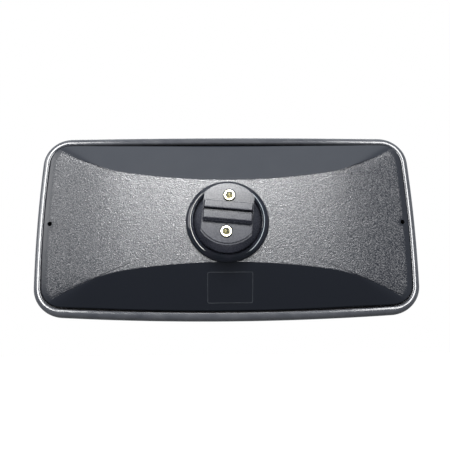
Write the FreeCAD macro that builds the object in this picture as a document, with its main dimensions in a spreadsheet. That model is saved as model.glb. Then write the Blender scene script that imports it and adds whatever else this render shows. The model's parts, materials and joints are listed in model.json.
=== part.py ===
"""Rectangular convex mirror head with a ball-jointed arm mount, as separate solids in one frame.

Frame: +X to the right as seen from behind, +Z up, the back of the head faces -Y and the glass faces +Y.
The origin is the centre of the arm face on the swivel ball, midway between the two threaded inserts.
Two local frames are used. The head frame has its origin on the rim surface, at the middle of the head.
The joint frame has its origin at the ball centre. In both, the depth towards the back is minus Y.
Sizes are in millimetres and degrees.
"""
import FreeCAD, Part
import math
import os

import Sketcher

DIMS = [
    # outline of the head, over the edge gasket
    ("half_width", 190.0),
    ("half_height", 96.0),
    ("long_side_radius", 2900.0),
    ("short_side_radius", 1100.0),
    ("corner_radius", 30.0),
    ("rim_radius", 1800.0),
    # depths from the rim surface, positive towards the back
    ("glass_front", -5.0),
    ("glass_back", -2.0),
    ("film_back", -1.7),
    ("flange_front", -0.2),
    ("flange_back", 2.6),
    ("gasket_front", -6.6),
    ("gasket_back", 7.2),
    # insets from the outline
    ("glass_inset", 3.2),
    ("tape_inner_inset", 11.5),
    ("gasket_lip_inset", 7.2),
    ("gasket_bead_inset", 8.2),
    ("wall_inset", 9.7),
    ("wall_thickness", 2.6),
    ("gasket_round", 5.0),
    # back of the housing
    ("crown_depth", 29.0),
    ("crown_flat", 95.0),
    ("crown_radius", 450.0),
    ("crown_overrun", 5.0),
    ("ridge_half", 41.0),
    ("ridge_radius", 640.0),
    ("flank_angle", 25.6),
    ("edge_round", 2.0),
    ("vent_radius", 2.2),
    ("vent_offset", 174.3),
    # ball joint
    ("ball_depth", 13.5),
    ("ball_drop", 1.3),
    ("ball_radius", 36.5),
    ("ball_bore", 28.0),
    ("ball_bore_top", 17.0),
    ("ball_top", 30.0),
    ("joint_gap", 0.3),
    ("liner_thickness", 1.8),
    ("liner_top_angle", 78.0),
    ("liner_low_angle", 92.0),
    ("socket_wall", 5.1),
    ("socket_low", 8.1),
    ("cup_top", 11.5),
    ("cup_low", -2.0),
    ("spring_ceiling", 6.0),
    ("spring_pocket", 17.0),
    # collar
    ("collar_radius", 40.6),
    ("spigot_radius", 39.9),
    ("spigot_low", 10.5),
    ("lip_radius", 32.6),
    ("lip_height", 17.4),
    ("crest_radius", 34.6),
    ("crest_height", 20.0),
    ("shoulder_in", 0.5),
    ("shoulder_rise", 1.7),
    ("lip_round_out", 0.5),
    ("lip_round_height", 18.9),
    ("seat_step_angle", 68.5),
    ("lip_step_angle", 68.0),
    ("seal_angle", 65.0),
    ("seal_section", 1.2),
    # arm face
    ("face_height", 35.3),
    ("face_radius", 29.0),
    ("face_step", 1.0),
    ("flat_half", 23.5),
    ("ledge_radius", 30.8),
    ("ledge_flat_half", 24.0),
    ("ledge_thickness", 2.4),
    ("boss_radius", 28.5),
    ("boss_flat_half", 23.0),
    ("boss_length", 11.9),
    ("boss_taper", 7.5),
    ("bar_width", 6.8),
    ("bar_gap", 3.7),
    ("bar_height", 6.0),
    ("bar_taper", 8.0),
    ("bar_shift", 1.2),
    ("bar_end_inset", 0.2),
    ("bar_chamfer", 0.5),
    ("web_height", 2.6),
    ("web_end_inset", 1.2),
    ("ball_pitch", 5.0),
    ("ball_roll", 5.3),
    # threaded inserts
    ("insert_spacing", 36.0),
    ("insert_radius", 5.4),
    ("insert_proud", 1.0),
    ("insert_buried", 12.5),
    ("thread_radius", 2.5),
    ("thread_depth", 11.0),
    ("thread_chamfer", 1.2),
    ("mouth_radius", 6.2),
    ("mouth_depth", 1.6),
    # retaining plate, spring and screws
    ("plate_radius", 54.0),
    ("plate_thickness", 1.5),
    ("plate_boss", 10.5),
    ("plate_boss_height", 2.0),
    ("screw_circle", 49.0),
    ("post_radius", 4.6),
    ("screw_radius", 2.0),
    ("screw_length", 14.0),
    ("head_radius", 3.9),
    ("head_height", 2.2),
    ("washer_radius", 4.6),
    ("washer_hole", 2.15),
    ("washer_thickness", 0.8),
    ("spring_wire", 1.4),
    ("spring_radius", 13.0),
    ("spring_turns", 3.5),
]

JOINT_Y = "Dims.face_height * cos(Dims.ball_pitch)"
JOINT_Z = "-Dims.face_height * sin(Dims.ball_pitch)"
RIM_Y = JOINT_Y + " + Dims.ball_depth"
FRONT_REACH = 25.0
BACK_REACH = 45.0
SLAB_SHARE = 2.4
ON_SURFACE = 0.01
ON_WALL = 0.05
FRONT_CLEARANCE = 1.0
LEAST_POCKET_VOLUME = 1000.0
SCREW_ANGLES = (45.0, 135.0, 225.0, 315.0)

doc = FreeCAD.newDocument("mirror_head")
sheet = doc.addObject("Spreadsheet::Sheet", "Dims")
for row, (alias, value) in enumerate(DIMS, start=1):
    sheet.set("A%d" % row, alias)
    sheet.set("B%d" % row, str(value))
    sheet.setAlias("B%d" % row, alias)
doc.recompute()
SIZE = dict(DIMS)
nodes = []


# ---------------------------------------------------------------- general helpers

def node(obj, label):
    """Mark an object as a finished sub-part."""
    obj.Label = label
    nodes.append(obj)
    return obj


def place_in_head(obj, y_extra="", z_extra=""):
    """Put an object's origin in the head frame, on the rim surface at the middle of the head."""
    obj.setExpression("Placement.Base.y", RIM_Y + y_extra)
    obj.setExpression("Placement.Base.z", JOINT_Z + " + Dims.ball_drop" + z_extra)
    return obj


def place_at_joint(obj, y_extra=""):
    """Put an object's origin at the ball centre."""
    obj.setExpression("Placement.Base.y", JOINT_Y + y_extra)
    obj.setExpression("Placement.Base.z", JOINT_Z)
    return obj


def new_body(name):
    return doc.addObject("PartDesign::Body", name)


def new_sketch(body, name, role):
    """A sketch on one of the body's own origin planes."""
    sketch = body.newObject("Sketcher::SketchObject", name)
    plane = [f for f in body.Origin.OriginFeatures if f.Role == role][0]
    sketch.AttachmentSupport = [(plane, "")]
    sketch.MapMode = "FlatFace"
    return sketch


def bind(sketch, constraint, expression):
    """Add a dimension to a sketch and tie it to the sheet."""
    index = sketch.addConstraint(constraint)
    sketch.setExpression("Constraints[%d]" % index, expression)
    return index


def boolean(kind, name, base, tool):
    obj = doc.addObject(kind, name)
    obj.Base = base
    obj.Tool = tool
    return obj


def cut(name, base, tool):
    return boolean("Part::Cut", name, base, tool)


def common(name, base, tool):
    return boolean("Part::Common", name, base, tool)


def fuse(name, shapes):
    obj = doc.addObject("Part::MultiFuse", name)
    obj.Shapes = shapes
    return obj


# ---------------------------------------------------------------- outline and rim surfaces

def outline_points():
    """Arc centres and tangent angles of the bowed, rounded rectangle, in its first quadrant."""
    long_centre = SIZE["half_height"] - SIZE["long_side_radius"]
    short_centre = SIZE["half_width"] - SIZE["short_side_radius"]
    long_reach = SIZE["long_side_radius"] - SIZE["corner_radius"]
    short_reach = SIZE["short_side_radius"] - SIZE["corner_radius"]
    span = math.hypot(short_centre, long_centre)
    along = (long_reach ** 2 - short_reach ** 2 + span ** 2) / (2 * span)
    across = math.sqrt(long_reach ** 2 - along ** 2)
    unit = (short_centre / span, -long_centre / span)
    corner = (unit[0] * along + unit[1] * across, long_centre + unit[1] * along - unit[0] * across)
    long_angle = math.atan2(corner[1] - long_centre, corner[0])
    short_angle = math.atan2(corner[1], corner[0] - short_centre)
    return long_centre, short_centre, corner, long_angle, short_angle


def outline_sketch(body, name, inset):
    """Closed outline of eight tangent arcs, drawn in from the outer edge by a sheet expression."""
    sketch = new_sketch(body, name, "XZ_Plane")
    step = sum(SIZE[term.split(".")[1]] for term in inset.split(" + ") if "." in term)
    long_centre, short_centre, corner, long_angle, short_angle = outline_points()
    half_turn = math.pi
    long_radius = SIZE["long_side_radius"] - step
    short_radius = SIZE["short_side_radius"] - step
    corner_radius = SIZE["corner_radius"] - step
    arcs = [
        ((0, long_centre), long_radius, long_angle, half_turn - long_angle),
        ((-corner[0], corner[1]), corner_radius, half_turn - long_angle, half_turn - short_angle),
        ((-short_centre, 0), short_radius, half_turn - short_angle, half_turn + short_angle),
        ((-corner[0], -corner[1]), corner_radius, half_turn + short_angle, half_turn + long_angle),
        ((0, -long_centre), long_radius, half_turn + long_angle, 2 * half_turn - long_angle),
        ((corner[0], -corner[1]), corner_radius, 2 * half_turn - long_angle, 2 * half_turn - short_angle),
        ((short_centre, 0), short_radius, -short_angle, short_angle),
        (corner, corner_radius, short_angle, long_angle),
    ]
    normal = FreeCAD.Vector(0, 0, 1)
    for (x, y), radius, start, end in arcs:
        circle = Part.Circle(FreeCAD.Vector(x, y, 0), normal, radius)
        sketch.addGeometry(Part.ArcOfCircle(circle, start, end), False)
    for index in range(8):
        sketch.addConstraint(Sketcher.Constraint("Tangent", index, 2, (index + 1) % 8, 1))
    for index in (0, 4):
        sketch.addConstraint(Sketcher.Constraint("PointOnObject", index, 3, -2))
    for index in (2, 6):
        sketch.addConstraint(Sketcher.Constraint("PointOnObject", index, 3, -1))
    drop = " - (" + inset + ")"
    for index in (0, 4):
        bind(sketch, Sketcher.Constraint("Radius", index, long_radius), "Dims.long_side_radius" + drop)
    for index in (2, 6):
        bind(sketch, Sketcher.Constraint("Radius", index, short_radius), "Dims.short_side_radius" + drop)
    for index in (1, 3, 5, 7):
        bind(sketch, Sketcher.Constraint("Radius", index, corner_radius), "Dims.corner_radius" + drop)
    bind(sketch, Sketcher.Constraint("DistanceY", 0, 3, -1, 1, -long_centre),
         "Dims.long_side_radius - Dims.half_height")
    bind(sketch, Sketcher.Constraint("DistanceY", -1, 1, 4, 3, -long_centre),
         "Dims.long_side_radius - Dims.half_height")
    bind(sketch, Sketcher.Constraint("DistanceX", -1, 1, 2, 3, -short_centre),
         "Dims.short_side_radius - Dims.half_width")
    bind(sketch, Sketcher.Constraint("DistanceX", 6, 3, -1, 1, -short_centre),
         "Dims.short_side_radius - Dims.half_width")
    return sketch


def outline_prism(name, inset):
    """A prism of the outline along the depth of the head, longer than the head is deep."""
    body = new_body(name)
    sketch = outline_sketch(body, name + "_outline", inset)
    pad = body.newObject("PartDesign::Pad", name + "_pad")
    pad.Profile = sketch
    pad.SideType = "Two sides"
    pad.Length = BACK_REACH
    pad.Length2 = FRONT_REACH
    place_in_head(body)
    return body


def rim_ball(name, depth):
    """A ball whose front is the rim surface moved back by depth."""
    ball = doc.addObject("Part::Sphere", name)
    ball.setExpression("Radius", "Dims.rim_radius - (" + depth + ")")
    place_in_head(ball, " - Dims.rim_radius")
    return ball


def rim_layer(name, prism, front, back):
    """The part of a prism between two depths of the rim surface."""
    layer = cut(name + "_layer", rim_ball(name + "_front", front), rim_ball(name + "_back", back))
    return common(name, layer, prism)


# ---------------------------------------------------------------- revolved parts

def revolved(body, name, points, arcs=()):
    """Revolve a closed profile about the body's Y axis.

    points are (radius, height) pairs with height towards the back. arcs maps the index of a side to the
    centre of the arc that replaces it.
    """
    sketch = new_sketch(body, name + "_profile", "XY_Plane")
    arcs = dict(arcs)
    count = len(points)
    for index, start in enumerate(points):
        end = points[(index + 1) % count]
        first = FreeCAD.Vector(start[0], -start[1], 0)
        second = FreeCAD.Vector(end[0], -end[1], 0)
        if index in arcs:
            middle = arc_middle(start, end, arcs[index])
            edge = Part.Arc(first, FreeCAD.Vector(middle[0], -middle[1], 0), second)
        else:
            edge = Part.LineSegment(first, second)
        sketch.addGeometry(edge, False)
    revolution = body.newObject("PartDesign::Revolution", name + "_turn")
    revolution.Profile = sketch
    revolution.ReferenceAxis = (sketch, ["V_Axis"])
    revolution.Angle = 360.0
    return sketch


def arc_middle(start, end, centre):
    """The middle point of the short arc between two points about a centre."""
    radius = math.hypot(start[0] - centre[0], start[1] - centre[1])
    x = (start[0] + end[0]) / 2 - centre[0]
    y = (start[1] + end[1]) / 2 - centre[1]
    scale = radius / math.hypot(x, y)
    return centre[0] + x * scale, centre[1] + y * scale


def on_ball(radius, height):
    """A profile point on a ball of this radius at this height."""
    return math.sqrt(radius ** 2 - height ** 2), height


def at_angle(radius, angle):
    """A profile point on a ball at this angle from the joint's axis."""
    return radius * math.sin(math.radians(angle)), radius * math.cos(math.radians(angle))


def turned(name, points, arcs=(), y_extra=""):
    """A revolved body whose frame is the joint frame."""
    body = new_body(name)
    revolved(body, name, points, arcs)
    return place_at_joint(body, y_extra)


def checked(step):
    """Recompute, and stop at the first object that failed."""
    doc.recompute()
    for obj in doc.Objects:
        if "Invalid" in obj.State or "Error" in obj.State:
            raise RuntimeError("%s: %s failed, %s" % (step, obj.Name, obj.State))


# ---------------------------------------------------------------- layers of the rim

full_prism = outline_prism("full_prism", "0")
glass_prism = outline_prism("glass_prism", "Dims.glass_inset")
tape_prism = outline_prism("tape_prism", "Dims.tape_inner_inset")
lip_prism = outline_prism("lip_prism", "Dims.gasket_lip_inset")
bead_prism = outline_prism("bead_prism", "Dims.gasket_bead_inset")
wall_prism = outline_prism("wall_prism", "Dims.wall_inset")
cavity_prism = outline_prism("cavity_prism", "Dims.wall_inset + Dims.wall_thickness")
checked("prisms")

node(rim_layer("glass", glass_prism, "Dims.glass_front", "Dims.glass_back"), "mirror_glass")
node(rim_layer("film", glass_prism, "Dims.glass_back", "Dims.film_back"), "backing_film")
tape_sheet = rim_layer("tape", glass_prism, "Dims.film_back", "Dims.flange_front")
node(cut("tape_frame", tape_sheet, tape_prism), "seal_tape")
checked("rim layers")

# The gasket is a channel that grips the glass and the housing flange together.
gasket_block = rim_layer("gasket", full_prism, "Dims.gasket_front", "Dims.gasket_back")
checked("gasket block")
back_surface = SIZE["rim_radius"] - SIZE["gasket_back"]


def edges_on_ball(obj, centre, radius):
    """Numbers of the edges that lie on a ball, for a fillet."""
    found = []
    for number, edge in enumerate(obj.Shape.Edges, start=1):
        ends = [edge.valueAt(edge.FirstParameter), edge.valueAt(edge.LastParameter)]
        if all(abs(point.distanceToPoint(centre) - radius) < ON_SURFACE for point in ends):
            found.append(number)
    return found


rim_centre = full_prism.Placement.Base - FreeCAD.Vector(0, SIZE["rim_radius"], 0)
gasket_round = doc.addObject("Part::Fillet", "gasket_round")
gasket_round.Base = gasket_block
gasket_round.Edges = [(number, SIZE["gasket_round"], SIZE["gasket_round"])
                      for number in edges_on_ball(gasket_block, rim_centre, back_surface)]
checked("gasket round")
slot = rim_layer("slot", glass_prism, "Dims.glass_front", "Dims.flange_back")
front_opening = cut("front_opening", lip_prism, rim_ball("slot_front", "Dims.glass_front"))
back_opening = common("back_opening", bead_prism, rim_ball("slot_back", "Dims.glass_front"))
gasket_tools = fuse("gasket_tools", [slot, front_opening, back_opening])
node(cut("gasket_channel", gasket_round, gasket_tools), "edge_gasket")
checked("gasket")

# ---------------------------------------------------------------- housing


def crown_slab(name, drop):
    """A slab whose back is flat in the middle and bends forward towards both ends."""
    body = new_body(name)
    sketch = new_sketch(body, name + "_profile", "XY_Plane")
    depth = SIZE["crown_depth"] - (SIZE["wall_thickness"] if drop else 0.0)
    flat = SIZE["crown_flat"]
    radius = SIZE["crown_radius"]
    end = SIZE["half_width"] + SIZE["crown_overrun"]
    sag = radius - math.sqrt(radius ** 2 - (end - flat) ** 2)
    middle = (flat + end) / 2
    middle_sag = radius - math.sqrt(radius ** 2 - (middle - flat) ** 2)
    vector = FreeCAD.Vector
    corners = [vector(-end, FRONT_REACH, 0), vector(end, FRONT_REACH, 0), vector(end, sag - depth, 0),
               vector(flat, -depth, 0), vector(-flat, -depth, 0), vector(-end, sag - depth, 0)]
    sketch.addGeometry(Part.LineSegment(corners[0], corners[1]), False)
    sketch.addGeometry(Part.LineSegment(corners[1], corners[2]), False)
    sketch.addGeometry(Part.Arc(corners[2], vector(middle, middle_sag - depth, 0), corners[3]), False)
    sketch.addGeometry(Part.LineSegment(corners[3], corners[4]), False)
    sketch.addGeometry(Part.Arc(corners[4], vector(-middle, middle_sag - depth, 0), corners[5]), False)
    sketch.addGeometry(Part.LineSegment(corners[5], corners[0]), False)
    pad = body.newObject("PartDesign::Pad", name + "_pad")
    pad.Profile = sketch
    pad.SideType = "Symmetric"
    pad.setExpression("Length", "Dims.half_height * %g" % SLAB_SHARE)
    return place_in_head(body)


def flank_cone(name, side, drop):
    """The space over one sloping flank: an upturned cone whose axis runs along the depth of the head."""
    cone = doc.addObject("Part::Cone", name)
    cone.Height = BACK_REACH + FRONT_REACH
    slope = "tan(Dims.flank_angle)"
    level = "(Dims.crown_depth" + drop + ")"
    cone.setExpression("Radius1", "Dims.ridge_radius - (" + level + " + %g) / " % FRONT_REACH + slope)
    cone.setExpression("Radius2", "Dims.ridge_radius + (%g - " % BACK_REACH + level + ") / " + slope)
    cone.Placement = FreeCAD.Placement(FreeCAD.Vector(), FreeCAD.Rotation(FreeCAD.Vector(1, 0, 0), 90))
    reach = " %s (Dims.ridge_half + Dims.ridge_radius)" % side
    return place_in_head(cone, " + %g" % FRONT_REACH, reach)


def housing_form(name, prism, drop):
    """The smooth outer form of the housing, or the same form drawn in by the wall thickness."""
    slab = common(name + "_slab", prism, crown_slab(name + "_crown", bool(drop)))
    upper = cut(name + "_upper", slab, flank_cone(name + "_upper_cone", "+", drop))
    return cut(name + "_form", upper, flank_cone(name + "_lower_cone", "-", drop))


def drum(name, radius, low, high):
    """A cylinder about the joint's axis between two heights over the ball centre."""
    cylinder = doc.addObject("Part::Cylinder", name)
    cylinder.setExpression("Radius", radius)
    cylinder.setExpression("Height", "(" + high + ") - (" + low + ")")
    cylinder.Placement = FreeCAD.Placement(FreeCAD.Vector(), FreeCAD.Rotation(FreeCAD.Vector(1, 0, 0), 90))
    return place_at_joint(cylinder, " - (" + low + ")")


def screw_drum(name, radius, low, high, angle):
    """A cylinder like a drum, on the screw circle."""
    cylinder = drum(name, radius, low, high)
    cylinder.setExpression("Placement.Base.x", "Dims.screw_circle * cos(%g)" % angle)
    cylinder.setExpression("Placement.Base.z", JOINT_Z + " + Dims.screw_circle * sin(%g)" % angle)
    return cylinder


PLATE_BACK = "-Dims.socket_low"
PLATE_FRONT = "-Dims.socket_low - Dims.plate_thickness"
SOCKET_RADIUS = "Dims.ball_radius + 2 * Dims.joint_gap + Dims.liner_thickness"
CROWN_LEVEL = "Dims.crown_depth - Dims.ball_depth"

outer_form = housing_form("outer", wall_prism, "")
solid_head = common("solid_head", outer_form, rim_ball("head_front", "Dims.flange_front"))
checked("housing form")


def rim_edges(obj):
    """Numbers of the edges round the back of the housing, where its wall meets the crown and flanks."""
    limit = SIZE["rim_radius"] - SIZE["flange_front"] - FRONT_CLEARANCE
    found = []
    for number, edge in enumerate(obj.Shape.Edges, start=1):
        first = edge.valueAt(edge.FirstParameter)
        last = edge.valueAt(edge.LastParameter)
        middle = edge.valueAt((edge.FirstParameter + edge.LastParameter) / 2)
        on_wall = all(wall_distance(point) < ON_WALL for point in (first, middle, last))
        at_back = all(point.distanceToPoint(rim_centre) < limit for point in (first, middle, last))
        upright = math.hypot(first.x - last.x, first.z - last.z) < ON_SURFACE
        if on_wall and at_back and not upright:
            found.append(number)
    return found


def wall_distance(point):
    """How far a point is from the side wall of the housing."""
    vertex = Part.Vertex(FreeCAD.Vector(point.x, wall_section.CenterOfMass.y, point.z))
    return vertex.distToShape(wall_section)[0]


wall_section = wall_prism.Shape.slice(FreeCAD.Vector(0, 1, 0), wall_prism.Placement.Base.y)[0]
edge_round = doc.addObject("Part::Fillet", "edge_round")
edge_round.Base = solid_head
edge_round.Edges = [(number, SIZE["edge_round"], SIZE["edge_round"]) for number in rim_edges(solid_head)]
checked("housing edge round")

flange = rim_layer("flange", glass_prism, "Dims.flange_front", "Dims.flange_back")
cavity = housing_form("cavity", cavity_prism, " - Dims.wall_thickness / cos(Dims.flank_angle)")
shell = cut("shell", fuse("shell_block", [edge_round, flange]), cavity)
posts = [screw_drum("post_%d" % number, "Dims.post_radius", PLATE_BACK, CROWN_LEVEL, angle)
         for number, angle in enumerate(SCREW_ANGLES, start=1)]
socket_block = drum("socket_block", "(" + SOCKET_RADIUS + ") + Dims.socket_wall", PLATE_BACK, CROWN_LEVEL)
inner_blocks = common("inner_blocks", fuse("blocks", posts + [socket_block]), edge_round)
shell_and_socket = fuse("shell_and_socket", [shell, inner_blocks])

socket_ball = doc.addObject("Part::Sphere", "socket_ball")
socket_ball.setExpression("Radius", SOCKET_RADIUS)
place_at_joint(socket_ball)
socket_bore = drum("socket_bore", SOCKET_RADIUS, PLATE_BACK, "0")
spigot_bore = drum("spigot_bore", "Dims.spigot_radius", "Dims.spigot_low", CROWN_LEVEL + " + Dims.crown_overrun")
screw_holes = [screw_drum("screw_hole_%d" % number, "Dims.screw_radius", PLATE_BACK,
                          PLATE_BACK + " + Dims.screw_length", angle)
               for number, angle in enumerate(SCREW_ANGLES, start=1)]
vents = []
for number, side in enumerate(("-", "+"), start=1):
    vent = drum("vent_%d" % number, "Dims.vent_radius", "-Dims.ball_depth", "Dims.crown_depth")
    vent.setExpression("Placement.Base.x", side + "Dims.vent_offset")
    vents.append(vent)
housing_tools = fuse("housing_tools", [socket_ball, socket_bore, spigot_bore] + screw_holes + vents)
node(cut("housing", shell_and_socket, housing_tools), "rear_housing")
checked("housing")

# ---------------------------------------------------------------- ball and arm face

ball_turn = FreeCAD.Rotation(FreeCAD.Vector(1, 0, 0), -SIZE["ball_pitch"])
ball_turn = ball_turn.multiply(FreeCAD.Rotation(FreeCAD.Vector(0, 1, 0), SIZE["ball_roll"]))
FACE_TO_JOINT = FreeCAD.Vector(0, SIZE["face_height"], 0)


def place_on_ball(obj, along, up=0.0):
    """Give an object the ball's tilt, at a height over the ball centre and an offset up the arm face."""
    joint = FreeCAD.Rotation(FreeCAD.Vector(1, 0, 0), -SIZE["ball_pitch"]).multVec(FACE_TO_JOINT)
    offset = ball_turn.multVec(FreeCAD.Vector(0, -along, up))
    obj.Placement = FreeCAD.Placement(joint + offset, ball_turn)
    return obj


def face_sketch(body, name, height):
    """A sketch parallel to the arm face at a height over the ball centre."""
    sketch = new_sketch(body, name, "XZ_Plane")
    sketch.setExpression(".AttachmentOffset.Base.z", height)
    return sketch


def rectangle(sketch, width, low, high):
    """A rectangle centred on the sketch's vertical axis."""
    corners = [FreeCAD.Vector(x, y, 0) for x, y in
               ((-width / 2, low), (width / 2, low), (width / 2, high), (-width / 2, high))]
    for index in range(4):
        sketch.addGeometry(Part.LineSegment(corners[index], corners[(index + 1) % 4]), False)


ball = new_body("ball")
BORE_TOP = on_ball(SIZE["ball_bore"], SIZE["ball_bore_top"])
BALL_TOP = on_ball(SIZE["ball_radius"], SIZE["ball_top"])
revolved(ball, "ball", [(0, SIZE["ball_top"]), BALL_TOP, (SIZE["ball_radius"], 0), (SIZE["ball_bore"], 0),
                        BORE_TOP, (0, SIZE["ball_bore_top"])], {1: (0, 0), 3: (0, 0)})
doc.recompute()


def flatted_disc(name, top, radius, flat_half, thickness, taper):
    """Pad a round outline with two side flats towards the ball, from a height over the ball centre."""
    sketch = face_sketch(ball, name + "_outline", top)
    angle = math.acos(flat_half / radius)
    reach = radius * math.sin(angle)
    circle = Part.Circle(FreeCAD.Vector(), FreeCAD.Vector(0, 0, 1), radius)
    sketch.addGeometry(Part.ArcOfCircle(circle, angle, math.pi - angle), False)
    sketch.addGeometry(Part.LineSegment(FreeCAD.Vector(-flat_half, reach, 0),
                                        FreeCAD.Vector(-flat_half, -reach, 0)), False)
    sketch.addGeometry(Part.ArcOfCircle(circle, math.pi + angle, 2 * math.pi - angle), False)
    sketch.addGeometry(Part.LineSegment(FreeCAD.Vector(flat_half, -reach, 0),
                                        FreeCAD.Vector(flat_half, reach, 0)), False)
    disc = ball.newObject("PartDesign::Pad", name)
    disc.Profile = sketch
    disc.Reversed = True
    disc.setExpression("Length", thickness)
    disc.setExpression("TaperAngle", "-(" + taper + ")")
    checked(name)


LEDGE_TOP = "Dims.face_height - Dims.face_step"
BOSS_TOP = LEDGE_TOP + " - Dims.ledge_thickness"
flatted_disc("boss", BOSS_TOP, SIZE["boss_radius"], SIZE["boss_flat_half"], "Dims.boss_length", "Dims.boss_taper")
flatted_disc("ledge", LEDGE_TOP, SIZE["ledge_radius"], SIZE["ledge_flat_half"], "Dims.ledge_thickness",
             "Dims.boss_taper")
flatted_disc("face", "Dims.face_height", SIZE["face_radius"], SIZE["flat_half"], "Dims.face_step", "0")

BAR_SHANK = SIZE["bar_height"] - SIZE["bar_chamfer"]
BAR_SPREAD = BAR_SHANK * math.tan(math.radians(SIZE["bar_taper"]))
for number, side in enumerate((1, -1), start=1):
    near = SIZE["bar_shift"] + side * SIZE["bar_gap"] / 2
    far = SIZE["bar_shift"] + side * (SIZE["bar_gap"] / 2 + SIZE["bar_width"])
    levels = (
        ("bar", "Dims.face_height", BAR_SPREAD, "Dims.bar_height - Dims.bar_chamfer", "-Dims.bar_taper"),
        ("bar_top", "Dims.face_height + Dims.bar_height - Dims.bar_chamfer", 0.0, "Dims.bar_chamfer", "-45"),
    )
    for label, level, spread, length, taper in levels:
        bar_sketch = face_sketch(ball, "%s_outline_%d" % (label, number), level)
        span = 2 * (SIZE["flat_half"] - SIZE["bar_end_inset"] - BAR_SPREAD + spread)
        low, high = sorted((near - side * spread, far + side * spread))
        rectangle(bar_sketch, span, low, high)
        bar = ball.newObject("PartDesign::Pad", "%s_%d" % (label, number))
        bar.Profile = bar_sketch
        bar.setExpression("Length", length)
        bar.setExpression("TaperAngle", taper)
        checked(label)

# A low web joins the two bars.
web_sketch = face_sketch(ball, "web_outline", "Dims.face_height")
rectangle(web_sketch, 2 * (SIZE["flat_half"] - SIZE["web_end_inset"]),
          SIZE["bar_shift"] - SIZE["bar_gap"] / 2, SIZE["bar_shift"] + SIZE["bar_gap"] / 2)
web = ball.newObject("PartDesign::Pad", "web")
web.Profile = web_sketch
web.setExpression("Length", "Dims.web_height")
checked("web")


def round_pocket(body, name, height, radius, depth):
    """A pair of round pockets at the two insert places, cut inward from a height over the ball centre."""
    sketch = face_sketch(body, name + "_circles", height)
    for index, side in enumerate((1, -1)):
        place = FreeCAD.Vector(0, side * SIZE["insert_spacing"] / 2, 0)
        sketch.addGeometry(Part.Circle(place, FreeCAD.Vector(0, 0, 1), SIZE[radius.split(".")[1]]), False)
        bind(sketch, Sketcher.Constraint("Radius", index, SIZE[radius.split(".")[1]]), radius)
    pocket = body.newObject("PartDesign::Pocket", name)
    pocket.Profile = sketch
    pocket.setExpression("Length", depth)
    return pocket


before = ball.Shape.Volume
round_pocket(ball, "insert_pockets", "Dims.face_height", "Dims.insert_radius", "Dims.insert_buried")
round_pocket(ball, "insert_mouths", "Dims.face_height", "Dims.mouth_radius", "Dims.mouth_depth")
checked("pockets")
if ball.Shape.Volume > before - LEAST_POCKET_VOLUME:
    raise RuntimeError("the insert pockets cut nothing")
place_on_ball(ball, 0.0)
node(ball, "swivel_ball")

for name, side in (("insert_upper", 1), ("insert_lower", -1)):
    insert = new_body(name)
    proud = SIZE["insert_proud"]
    chamfer = SIZE["thread_chamfer"]
    bore_floor = proud - SIZE["thread_depth"]
    revolved(insert, name, [
        (0, -SIZE["insert_buried"]),
        (SIZE["insert_radius"], -SIZE["insert_buried"]),
        (SIZE["insert_radius"], proud - chamfer / 2),
        (SIZE["insert_radius"] - chamfer / 2, proud),
        (SIZE["thread_radius"] + chamfer, proud),
        (SIZE["thread_radius"], proud - chamfer),
        (SIZE["thread_radius"], bore_floor),
        (0, bore_floor)])
    place_on_ball(insert, SIZE["face_height"], side * SIZE["insert_spacing"] / 2)
    node(insert, name)
checked("inserts")

# ---------------------------------------------------------------- inside the joint

liner_in = SIZE["ball_radius"] + SIZE["joint_gap"]
liner_out = liner_in + SIZE["liner_thickness"]
socket_radius = liner_out + SIZE["joint_gap"]
liner_top = SIZE["liner_top_angle"]
liner_low = SIZE["liner_low_angle"]
node(turned("liner", [at_angle(liner_in, liner_top), at_angle(liner_out, liner_top),
                      at_angle(liner_out, liner_low), at_angle(liner_in, liner_low)],
            {1: (0, 0), 3: (0, 0)}), "socket_liner")

cup_radius = SIZE["ball_bore"] - SIZE["joint_gap"]
node(turned("cup", [(0, SIZE["cup_top"]), on_ball(cup_radius, SIZE["cup_top"]),
                    on_ball(cup_radius, SIZE["cup_low"]), (SIZE["spring_pocket"], SIZE["cup_low"]),
                    (SIZE["spring_pocket"], SIZE["spring_ceiling"]), (0, SIZE["spring_ceiling"])],
            {1: (0, 0)}), "pressure_cup")

crown = SIZE["crown_depth"] - SIZE["ball_depth"]
lip = (SIZE["lip_radius"], SIZE["lip_height"])
crest = (SIZE["crest_radius"], SIZE["crest_height"])
spigot_top = on_ball(socket_radius, SIZE["spigot_low"])
seat_step = at_angle(socket_radius, SIZE["seat_step_angle"])
lip_step = at_angle(liner_in, SIZE["lip_step_angle"])
collar = new_body("collar")
collar_sketch = new_sketch(collar, "collar_profile", "XY_Plane")
outer_foot = (SIZE["collar_radius"], crown)
hump = [outer_foot,
        (SIZE["collar_radius"] - SIZE["shoulder_in"], crown + SIZE["shoulder_rise"]),
        crest,
        (SIZE["lip_radius"] + SIZE["lip_round_out"], SIZE["lip_round_height"]),
        lip]


def profile_vector(point):
    return FreeCAD.Vector(point[0], -point[1], 0)


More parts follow.
